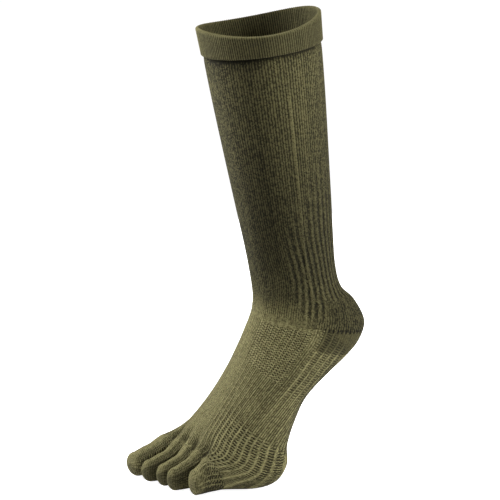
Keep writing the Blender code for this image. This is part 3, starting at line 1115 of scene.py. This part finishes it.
@dataclass(frozen=True)
class Yarn:
    """Finish of one knitted zone."""

    slot: Slot
    light: Colour
    dark: Colour
    hole: Colour = (0.010, 0.009, 0.004, 1.0)
    hole_share: float = 0.92
    wales: float = 240.0
    course: float = 0.0011
    heather: float = 0.70
    calmed: float = 0.5
    streak: float = 0.25
    cloud: float = 0.15
    cloud_scale: float = 55.0
    stitch: float = 0.9
    # share of the painted light and shade in the tone
    furrow: float = 0.42
    relief: float = 0.0005
    bump: float = 0.8
    hole_depth: float = 1.6
    rail_height: float = 0.7
    roughness: float = 0.9
    sheen: float = 0.02
    sheen_roughness: float = 0.6
    specular: float = 0.1
    columns: float = 38.0
    rungs: float = 0.0022
    mesh_step: float = 0.35
    mesh_post: float = 0.10
    mesh_tone: float = 0.15
    rail: float = 0.13
    cut: float = 1.45
    lifted: float = 1.0


@dataclass
class YarnShop:
    """Makes each zone's material from its finish, sharing the knit groups."""

    gore_line: float
    stitches: StitchGroup = field(default_factory=StitchGroup)
    ladders: LadderGroup = field(default_factory=LadderGroup)
    hole_row: HoleRowGroup = field(default_factory=HoleRowGroup)

    def use(self, nodes: Nodes, group: KnitGroup, **values: float) -> bpy.types.bpy_prop_collection:
        """Place a group in a material.

        Args:
            nodes: the material's tree.
            group: the group.
            values: its own values there, by the inputs' names.

        Returns:
            The placed group's outputs.
        """
        node = nodes.add("ShaderNodeGroup", node_tree=group.tree)
        for key, value in values.items():
            node.inputs[key].default_value = value
        return node.outputs

    def zone_masks(self, nodes: Nodes, names: tuple[str, ...]) -> dict[str, Value]:
        """Read the zone masks of the mesh.

        Args:
            nodes: the material's tree.
            names: the masks that the mesh keeps.

        Returns:
            Each mask by name, 0 where the mesh has none. Rails run along the ladders
            unless they have a mask of their own.
        """
        zone: dict[str, Value] = dict.fromkeys(("ridge", "ladder", "mesh", "join", "lift"), 0.0)
        for name in names:
            zone[name] = nodes.add("ShaderNodeAttribute", attribute_name=name).outputs["Fac"]
        zone.setdefault("rails", zone["ladder"])
        return zone

    def make(self, yarn: Yarn, names: tuple[str, ...]) -> bpy.types.Material:
        """Material of one zone.

        Args:
            yarn: the zone's finish.
            names: the masks that the zone's mesh keeps.

        Returns:
            A material that reads the zone masks of the mesh.
        """
        material = bpy.data.materials.new(yarn.slot.value)
        material.use_nodes = True
        nodes = Nodes(material.node_tree)
        shader = material.node_tree.nodes["Principled BSDF"]
        shader.inputs["Roughness"].default_value = yarn.roughness
        shader.inputs["Sheen Weight"].default_value = yarn.sheen
        shader.inputs["Sheen Roughness"].default_value = yarn.sheen_roughness
        shader.inputs["Specular IOR Level"].default_value = yarn.specular
        zone = self.zone_masks(nodes, names)
        stitch = self.use(nodes, self.stitches, Wales=yarn.wales, Course=yarn.course)
        ladder = self.use(nodes, self.ladders, Count=yarn.columns, Pitch=yarn.rungs)
        mesh = self.use(nodes, self.ladders, Count=2 * yarn.columns, Pitch=yarn.rungs,
                        Slant=0.0, Step=yarn.mesh_step, Post=yarn.mesh_post)
        joins = self.use(nodes, self.hole_row, Line=self.gore_line)
        holes = nodes.maths("MAXIMUM", nodes.times(ladder["Hole"], zone["ladder"]),
                            nodes.times(joins["Hole"], zone["join"]))
        holes = nodes.plus(holes, mesh["Hole"], zone["mesh"], clamp=True)
        furrow = nodes.times(ladder["Furrow"], nodes.less(1.0, zone["ladder"], clamp=True))
        furrow = nodes.times(furrow, zone["rails"])
        rail = nodes.times(ladder["Rail"], zone["rails"])
        cloud = nodes.add("ShaderNodeTexNoise")
        nodes.join(nodes.add("ShaderNodeTexCoord").outputs["Object"], cloud.inputs["Vector"])
        nodes.join(yarn.cloud_scale, cloud.inputs["Scale"])
        heather = nodes.plus(yarn.heather, zone["lift"], -yarn.heather * yarn.calmed)
        tone: Value = 0.5
        for value, share in (
            (nodes.less(stitch["Shade"], 0.5), heather),
            (nodes.less(stitch["Streak"], 0.5), yarn.streak),
            (nodes.less(cloud.outputs[0], 0.5), yarn.cloud),
            # painted light and shade: rib furrows and crests, shadow under the cuff, grooves and
            # toe flanks
            (zone["ridge"], yarn.furrow),
            (rail, yarn.rail),
            (zone["mesh"], yarn.mesh_tone),
            (furrow, -yarn.cut),
        ):
            tone = nodes.plus(tone, value, share)
        tone = nodes.plus(tone, nodes.less(stitch["Height"], 0.5), yarn.stitch, clamp=True)
        raised = nodes.add("ShaderNodeVectorMath", operation="SCALE")
        nodes.join(nodes.blend(tone, yarn.dark, yarn.light), raised.inputs[0])
        # the lift scales the colour toward the foot's tone, and on the leg it carries painted light
        # on the calf and painted shade near the shin
        nodes.join(nodes.plus(1.0, zone["lift"], yarn.lifted - 1), raised.inputs["Scale"])
        colour = nodes.blend(nodes.times(holes, yarn.hole_share), raised.outputs[0], yarn.hole)
        nodes.join(colour, shader.inputs["Base Color"])
        height = nodes.plus(stitch["Height"], holes, -yarn.hole_depth)
        height = nodes.plus(height, nodes.less(rail, furrow), yarn.rail_height)
        bump = nodes.add("ShaderNodeBump")
        bump.inputs["Strength"].default_value = yarn.bump
        bump.inputs["Distance"].default_value = yarn.relief
        nodes.join(height, bump.inputs["Height"])
        nodes.join(bump.outputs[0], shader.inputs["Normal"])
        return material


@dataclass
class KnitPiece:
    """What all pieces of the sock share."""

    form: SockForm
    relief: KnitRelief
    node: str = ""
    yarn: Yarn | None = None

    def finish(self, skin: Skin, shop: YarnShop) -> bpy.types.Object:
        """Build the skin, dress it and put it in the place of its node.

        Args:
            skin: the piece's skin.
            shop: where its material is made.

        Returns:
            The piece.
        """
        piece = skin.build(f"knit_{self.node}")
        piece.data.materials.append(shop.make(self.yarn, tuple(skin.zones)))
        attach(piece, "root")
        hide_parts(self.node)
        faces = sum(len(face.vertices) - 2 for face in piece.data.polygons)
        LOG.info("%s: %d triangles", piece.name, faces)
        return piece

    def sheet(self, place: np.ndarray, turn: np.ndarray, closed: bool = True,
              kept: np.ndarray | None = None) -> Skin:
        """Skin of a zone of the leg or the foot, with the relief and the masks.

        Args:
            place: places of the rows.
            turn: turns of the columns.
            closed: whether the columns close round the sock.
            kept: which faces stay, for a zone with a part left out.

        Returns:
            The zone's skin.
        """
        rows, columns = place[:, None], turn[None, :]
        base = self.form.points(rows, columns)
        out = self.form.normals(rows, columns)
        height, ridge = self.relief.heights(rows, columns)
        edge = np.append(turn, turn[0] + 1) if closed else turn
        length = np.broadcast_to(self.form.along(place)[:, None], (len(place), len(edge)))
        if place[0] >= self.relief.gore:
            ring = np.append(base, base[:, :1], axis=1) if closed else base
            length = length[0] + self.form.run(ring)
        arch, ladder = self.relief.arch(rows, columns), self.relief.ladder(rows, columns)
        mesh = self.relief.mesh(rows, columns)
        return Skin(
            outer=base + height[..., None] * out,
            inner=base - self.form.wall * out,
            round_it=self.relief.knit_turn(rows, edge[None, :]),
            lengthwise=length,
            zones={
                "ridge": ridge,
                "ladder": ladder * (1 - mesh) * (rows > self.relief.gore),
                "rails": np.maximum(arch, ladder) * (1 - mesh),
                "mesh": mesh,
                "join": self.relief.join(rows, columns),
                "lift": self.relief.lift(rows, columns),
            },
            closed=closed,
            kept=kept,
        )

    def keep(self, skin: Skin, *names: str) -> Skin:
        """The same skin with only the named masks."""
        skin.zones = {name: skin.zones[name] for name in names}
        return skin


@dataclass
class Cuff(KnitPiece):
    """Doubled band of fine rib round the mouth, with rounded edges."""

    node: str = "cuff"
    yarn: Yarn = Yarn(Slot.CUFF, light=(0.172, 0.157, 0.070, 1), dark=(0.027, 0.024, 0.010, 1),
                      wales=316.0, course=0.0010, heather=0.45, furrow=0.60)
    proud: float = 0.0012
    hem: float = 0.0011
    ribs: int = 158
    rib_height: float = 0.00030
    rib_split: int = 4
    scallop: float = 0.00030
    edge_tone: float = 0.9
    edge_width: float = 0.0016
    row_count: int = 18

    def build(self, shop: YarnShop) -> bpy.types.Object:
        """Make the band from the mouth to the cuff's lower edge.

        Args:
            shop: where its material is made.

        Returns:
            The piece.
        """
        share = (1 - np.cos(np.linspace(0, np.pi, self.row_count))) / 2
        place = PLACES["cuff_edge"] * share
        turn = np.arange(self.rib_split * self.ribs) / (self.rib_split * self.ribs)
        skin = self.sheet(place, turn)
        rows, columns = place[:, None], turn[None, :]
        length = self.form.along(place)[:, None]
        inside = np.minimum(length, length[-1] - length) / self.hem
        round_off = np.sqrt(np.clip(1 - (1 - np.clip(inside, 0, 1)) ** 2, 0, 1))
        wave = np.cos(2 * np.pi * self.ribs * columns)
        base, out = self.form.points(rows, columns), self.form.normals(rows, columns)
        height = self.proud * (2 * round_off - 1) + self.rib_height / 2 * wave * round_off
        skin.outer = base + height[..., None] * out
        skin.outer[..., 2] += self.scallop * wave * np.exp(-length / self.hem)
        # painted shade in the rib furrows, painted light on their crests, and a lighter top edge
        skin.zones = {"ridge": wave + self.edge_tone * bell(length, 0.0, self.edge_width)}
        return self.finish(skin, shop)


@dataclass
class Leg(KnitPiece):
    """Ribbed tube from the cuff to the gore line of the heel."""

    node: str = "leg"
    yarn: Yarn = Yarn(Slot.LEG, light=(0.110, 0.100, 0.044, 1), dark=(0.010, 0.009, 0.004, 1),
                      heather=0.9, furrow=0.65, lifted=3.8)
    row_count: int = 100
    column_count: int = 480

    def build(self, shop: YarnShop) -> bpy.types.Object:
        """Make the tube.

        Args:
            shop: where its material is made.

        Returns:
            The piece.
        """
        place = np.linspace(PLACES["cuff_edge"], self.relief.gore, self.row_count)
        turn = np.arange(self.column_count) / self.column_count
        return self.finish(self.keep(self.sheet(place, turn), "ridge", "join", "lift"), shop)


@dataclass
class Heel(KnitPiece):
    """Plain pocket that holds the underside of the heel."""

    node: str = "heel"
    yarn: Yarn = Yarn(Slot.HEEL, light=(0.150, 0.136, 0.060, 1), dark=(0.042, 0.038, 0.016, 1),
                      furrow=0.15, heather=0.4, lifted=1.5)
    first: float = HEEL_FIRST / FOOT_SIDES
    row_count: int = 40
    column_count: int = 196

    def build(self, shop: YarnShop) -> bpy.types.Object:
        """Make the pocket between the gore line and the end of the heel.

        Args:
            shop: where its material is made.

        Returns:
            The piece.
        """
        place = np.linspace(self.relief.gore, PLACES["heel_base"], self.row_count)
        turn = np.linspace(self.first, 1 - self.first, self.column_count)
        skin = self.keep(self.sheet(place, turn, closed=False), "ladder", "join", "lift")
        return self.finish(skin, shop)


@dataclass
class Foot(KnitPiece):
    """Tube from the gore line to the toe line, with the heel pocket left out."""

    node: str = "foot"
    yarn: Yarn = Yarn(Slot.FOOT, light=(0.455, 0.416, 0.189, 1), dark=(0.040, 0.036, 0.015, 1),
                      heather=0.5)
    heel_rows: int = 24
    row_count: int = 84
    split: int = 5
    # strength of the painted shade along the grooves between the toes
    crease_painted_shade: float = 1.0

    def build(self, shop: YarnShop) -> bpy.types.Object:
        """Make the tube.

        Args:
            shop: where its material is made.

        Returns:
            The piece.
        """
        upper = np.linspace(self.relief.gore, PLACES["heel_base"], self.heel_rows + 1)
        lower = np.linspace(PLACES["heel_base"], PLACES["toe_line"], self.row_count + 1)[1:]
        place = np.concatenate([upper, lower])
        columns = FOOT_SIDES * self.split
        turn = np.arange(columns) / columns
        first = HEEL_FIRST * self.split
        kept = np.ones((len(place) - 1, columns), bool)
        kept[:self.heel_rows, first:columns - first] = False
        skin = self.keep(self.sheet(place, turn, kept=kept), "ridge", "ladder", "rails", "mesh")
        across = self.form.points(place[:, None], turn[None, :])[..., 0]
        # painted shade along the grooves between the toes
        groove_shade_mask = self.form.groove(place[:, None], across) / self.form.groove_depth
        skin.zones["ridge"] = skin.zones["ridge"] - self.crease_painted_shade * groove_shade_mask
        return self.finish(skin, shop)


@dataclass
class ToePocket(KnitPiece):
    """Closed pocket of one toe, from its part of the toe line to its tip.

    Bands here are in degrees round the toe from its top, and starts are shares of its
    rings, counted from the tip.
    """

    shape: ToeShape = TOES[0]
    inner_web: float = -FOOT_EDGE
    yarn: Yarn = Yarn(Slot.TOE, light=(0.350, 0.320, 0.145, 1), dark=(0.036, 0.032, 0.013, 1),
                      heather=0.45, wales=170.0, course=0.0015, columns=57.0, rungs=0.0021)
    toe_reach: float = 0.036
    toe_height: float = 0.0195
    tip_skew: float = 0.1
    web_gap: float = 0.0003
    cap_share: float = 0.995
    # painted light along the top of each toe
    crest_painted_light: float = 0.3
    crest_width: float = 30.0
    flank: Band = (38.0, 100.0, 14.0)
    flank_start: float = 0.15
    # painted shade on the lower outer flank of each toe, weaker on the little toe's side
    flank_painted_shade: Band = (72.0, 140.0, 30.0)
    flank_shade_strength: float = 0.6
    side: Band = (20.0, 180.0, 20.0)
    side_start: float = 0.45
    side_shade_strength: float = 0.2
    start_ease: float = 0.2
    # painted shade under the little toe, near where it joins the foot
    notch_painted_shade: Band = (135.0, 180.0, 20.0)
    notch_along: Span = (0.65, 0.25)
    notch_shade_strength: float = 1.3
    top_turns: Span = (-0.25, 0.25)
    sole_turns: Span = (0.25, 0.75)
    arc_sides: int = 36
    edge_arc_sides: int = 108
    wall_sides: int = 14
    line_samples: int = 361
    row_count: int = 34
    cap_rows: int = 12
    least_normal: float = 1e-12

    @property
    def innermost(self) -> bool:
        """Whether the toe has no neighbour on its inner side."""
        return self.inner_web <= -FOOT_EDGE

    @property
    def outermost(self) -> bool:
        """Whether the toe has no neighbour on its outer side."""
        return self.shape.web >= FOOT_EDGE

    def arc(self, start: float, end: float) -> np.ndarray:
        """Part of the toe's opening that follows the toe line.

        Args:
            start: turn of its first point.
            end: turn that it stops short of.

        Returns:
            Its points.
        """
        sides = self.edge_arc_sides if self.innermost or self.outermost else self.arc_sides
        return self.form.points(PLACES["toe_line"], mix(start, end, np.arange(sides) / sides))

    def wall(self, start: float, end: float) -> np.ndarray:
        """Part of the toe's opening that runs straight beside a neighbour.

        Args:
            start: turn of its first point.
            end: turn that it stops short of.

        Returns:
            Its points.
        """
        share = (np.arange(self.wall_sides) / self.wall_sides)[:, None]
        first, last = (self.form.points(PLACES["toe_line"], turn) for turn in (start, end))
        return mix(first, last, share)

    def root(self) -> tuple[np.ndarray, np.ndarray]:
        """Ring of the toe's opening, and its knit turns.

        Returns:
            The ring's points, and the turn at each, with one more that closes it.
        """
        half = self.form.half_ball
        low = self.inner_web * half + self.web_gap / 2
        high = self.shape.web * half - self.web_gap / 2
        tops = [self.form.turn_at(x, *self.top_turns) for x in (low, high)]
        soles = [self.form.turn_at(x, *self.sole_turns) for x in (low, high)]
        if self.innermost:
            runs = [self.wall(tops[1], soles[1]), self.arc(soles[1], tops[1] + 1)]
        elif self.outermost:
            runs = [self.arc(tops[0], soles[0]), self.wall(soles[0], tops[0])]
        else:
            runs = [self.arc(tops[0], tops[1]), self.wall(tops[1], soles[1]),
                    self.arc(soles[1], soles[0]), self.wall(soles[0], tops[0])]
        line = PLACES["toe_line"]
        ring = np.concatenate(runs)
        turns = np.linspace(0, 1, self.line_samples)
        girth = np.linalg.norm(np.diff(self.form.points(line, turns), axis=0), axis=-1).sum()
        steps = np.linalg.norm(np.diff(np.vstack([ring, ring[:1]]), axis=0), axis=-1)
        length = np.concatenate([[0.0], np.cumsum(steps)]) / girth
        shares = self.form.girth_share(line, np.array(tops))[0]
        knit = (shares[1] + 1 - length[-1] if self.innermost else shares[0]) + length
        return ring, knit + self.relief.bend(float(line)) * np.sin(2 * np.pi * knit)

    def box(self, root: np.ndarray) -> tuple[np.ndarray, np.ndarray, np.ndarray, np.ndarray]:
        """Measure the toe's opening.

        Args:
            root: the opening's points.

        Returns:
            Its centre, its size, and how far each point lies to the side and up, as
            shares of the size.
        """
        low, high = root.min(axis=0), root.max(axis=0)
        centre, size = (low + high) / 2, high - low
        return centre, size, (root[:, 0] - centre[0]) / size[0], (root[:, 2] - centre[2]) / size[2]

    def rings(self, root: np.ndarray) -> np.ndarray:
        """Rings from the root to the tip, which turn from the root's shape to an oval.

        Args:
            root: points of the toe's opening.

        Returns:
            A row of points for each ring.
        """
        centre, size, side, up = self.box(root)
        front = root[:, 1].mean()
        tall_toe = self.shape.height * self.toe_height
        reach = self.shape.reach * self.toe_reach
        rows = [[centre[0], front, centre[2], size[0], size[2], 0.0]]
        for along, tall, wide, lift, oval in TOE_SECTIONS:
            rows.append([
                mix(centre[0], self.shape.tip * self.form.half_ball, along), front - along * reach,
                self.form.floor + (lift + tall / 2) * tall_toe,
                wide * self.shape.width * size[0], tall * tall_toe, oval,
            ])
        values = through(np.array(rows), np.linspace(0, len(TOE_SECTIONS), self.row_count))
        share = np.sin(np.linspace(0, np.pi / 2, self.cap_rows + 1))[1:] * self.cap_share
        cap = np.repeat(values[-1:], len(share), axis=0)
        cap[:, 1] -= share * (1 - TOE_SECTIONS[-1][0]) * reach
        cap[:, 3:5] *= np.sqrt(1 - share**2)[:, None]
        values = np.concatenate([values, cap])
        behind = root[:, 1] - front
        x, y, z, width, height, oval = (values[:, i:i + 1] for i in range(6))
        angle = np.arctan2(side, up)[None, :]
        across = mix(side, np.sin(angle) / 2, oval) * width
        above = mix(up, np.cos(angle) / 2, oval) * height
        lag = mix(behind, self.tip_skew * across, smooth(oval))
        return np.stack([x + across, y + lag, z + above], axis=-1)

    def build(self, shop: YarnShop) -> bpy.types.Object:
        """Make the pocket.

        Args:
            shop: where its material is made.

        Returns:
            The piece.
        """
        self.node = self.shape.name
        root, turns = self.root()
        outer = self.rings(root)
        round_it = np.roll(outer, -1, axis=1) - np.roll(outer, 1, axis=1)
        out = np.cross(np.gradient(outer, axis=0), round_it)
        out /= np.maximum(np.linalg.norm(out, axis=-1, keepdims=True), self.least_normal)
        steps = np.linalg.norm(np.diff(outer, axis=0), axis=-1).mean(axis=1)
        length = self.form.along(PLACES["toe_line"]) + np.concatenate([[0.0], np.cumsum(steps)])
        shape = (len(outer), len(turns))
        fade = np.linspace(1, 0, len(outer))[:, None]
        side, up = self.box(root)[2:]
        angle = np.degrees(np.arctan2(side, up))[None, :]
        # tone is the strength of the painted shade on the flank
        flank, start, tone = self.flank, self.flank_start, self.flank_shade_strength
        if self.outermost:
            flank, start, tone = self.side, self.side_start, self.side_shade_strength
        # painted shade on the flank, and under the little toe
        shade = band(angle, *self.flank_painted_shade) * tone
        if self.outermost:
            notch_painted_shade = self.notch_shade_strength * band(np.abs(angle), *self.notch_painted_shade)
            shade = shade + notch_painted_shade * bell(fade, *self.notch_along)
        skin = Skin(
            outer=outer,
            inner=outer - self.form.wall * out,
            round_it=np.broadcast_to(turns, shape),
            lengthwise=np.broadcast_to(length[:, None], shape),
            zones={
                # painted light along the top, less the painted shade
                "ridge": self.crest_painted_light * bell(angle, 0.0, self.crest_width) - shade,
                "ladder": rise(fade, start, self.start_ease) * band(angle, *flank),
            },
            tip=True,
        )
        return self.finish(skin, shop)


# name, degrees from the camera, degrees over the horizon, power
PANELS = (
    ("left_panel", -100.0, 40.0, 31.0),
    ("left_low_panel", -118.0, 3.0, 9.0),
    ("right_panel", 80.0, 26.0, 22.0),
    ("top_panel", 0.0, 75.0, 3.0),
)


@dataclass
class Studio:
    """Camera, soft lights and a plain pale floor."""

    azimuth: float = math.radians(75.0)
    elevation: float = math.radians(13.0)
    distance: float = 2.6
    target: tuple[float, float, float] = (0.0, 0.0, -0.2)
    lens: float = 224.64
    sensor: float = 36.0
    shift: tuple[float, float] = (-0.016, 0.012)
    far: float = 100.0
    panel_size: float = 0.8
    panel_distance: float = 1.4
    floor_size: float = 2.0
    floor_gap: float = 0.0004
    floor_colour: Colour = (0.92, 0.92, 0.92, 1)
    floor_roughness: float = 0.9
    white: Colour = (1, 1, 1, 1)
    world_light: float = 0.02
    backdrop_light: float = 1.01

    def direction(self, azimuth: float, elevation: float) -> Vector:
        """Direction from the sock to a point round it."""
        level = math.cos(elevation)
        return Vector((math.sin(azimuth) * level, -math.cos(azimuth) * level, math.sin(elevation)))

    def put(self, name: str, data: bpy.types.ID, out: Vector, distance: float) -> bpy.types.Object:
        """Place a camera or a light so that it faces the sock.

        Args:
            name: name of the object.
            data: the camera or the light.
            out: direction from the sock to it.
            distance: how far away it is, in metres.

        Returns:
            The object, linked to the scene.
        """
        thing = bpy.data.objects.new(name, data)
        thing.location = Vector(self.target) + distance * out
        thing.rotation_euler = out.to_track_quat("Z", "Y").to_euler()
        bpy.context.scene.collection.objects.link(thing)
        return thing

    def camera(self) -> None:
        """Put the camera at the photograph's angle."""
        data = bpy.data.cameras.new("camera")
        data.sensor_width = self.sensor
        data.lens = self.lens
        data.shift_x, data.shift_y = self.shift
        data.clip_end = self.far
        out = self.direction(self.azimuth, self.elevation)
        bpy.context.scene.camera = self.put("camera", data, out, self.distance)

    def light(self, name: str, turn: float, height: float, power: float) -> None:
        """Put up a soft panel.

        Args:
            name: name of the panel.
            turn: degrees from the camera.
            height: degrees over the horizon.
            power: its power in watts.
        """
        data = bpy.data.lights.new(name, "AREA")
        data.energy = power
        data.size = self.panel_size
        out = self.direction(self.azimuth + math.radians(turn), math.radians(height))
        self.put(name, data, out, self.panel_distance)

    def floor(self, height: float) -> None:
        """Lay a plain pale floor under the toes and the ball.

        Args:
            height: its height in metres.
        """
        half = self.floor_size / 2
        mesh = bpy.data.meshes.new("floor")
        corners = [(x * half, y * half, height) for x, y in ((-1, -1), (1, -1), (1, 1), (-1, 1))]
        mesh.from_pydata(corners, [], [(0, 1, 2, 3)])
        floor = bpy.data.objects.new("floor", mesh)
        material = bpy.data.materials.new("pale_floor")
        material.use_nodes = True
        shader = material.node_tree.nodes["Principled BSDF"]
        shader.inputs["Base Color"].default_value = self.floor_colour
        shader.inputs["Roughness"].default_value = self.floor_roughness
        shader.inputs["Specular IOR Level"].default_value = 0.0
        shader.inputs["Emission Color"].default_value = self.white
        nodes = Nodes(material.node_tree)
        seen = nodes.add("ShaderNodeLightPath").outputs["Is Camera Ray"]
        nodes.join(seen, shader.inputs["Emission Strength"])
        mesh.materials.append(material)
        bpy.context.scene.collection.objects.link(floor)

    def world(self) -> None:
        """Surround the scene evenly with white."""
        world = bpy.data.worlds.new("studio")
        world.use_nodes = True
        nodes = Nodes(world.node_tree)
        background = world.node_tree.nodes["Background"]
        background.inputs["Color"].default_value = self.white
        seen = nodes.add("ShaderNodeLightPath").outputs["Is Camera Ray"]
        strength = nodes.plus(self.world_light, seen, self.backdrop_light)
        nodes.join(strength, background.inputs["Strength"])
        bpy.context.scene.world = world

    def build(self, lowest: float) -> None:
        """Set up the whole studio.

        Args:
            lowest: height of the sock's lowest point, in metres.
        """
        self.camera()
        for panel in PANELS:
            self.light(*panel)
        self.floor(lowest - self.floor_gap)
        self.world()
        bpy.context.scene.view_settings.view_transform = "Standard"


def main() -> None:
    """Build the studio and the sock, piece by piece."""
    logging.basicConfig(level=logging.INFO, format="%(message)s")
    form = SockForm()
    relief = KnitRelief(form)
    Studio().build(CAD_BOX[0].z)
    shop = YarnShop(gore_line=float(form.along(relief.gore)))
    for kind in (Cuff, Leg, Heel, Foot):
        kind(form, relief).build(shop)
    inner_web = -FOOT_EDGE
    for toe in TOES:
        ToePocket(form, relief, shape=toe, inner_web=inner_web).build(shop)
        inner_web = toe.web


if __name__ == "__main__":
    main()
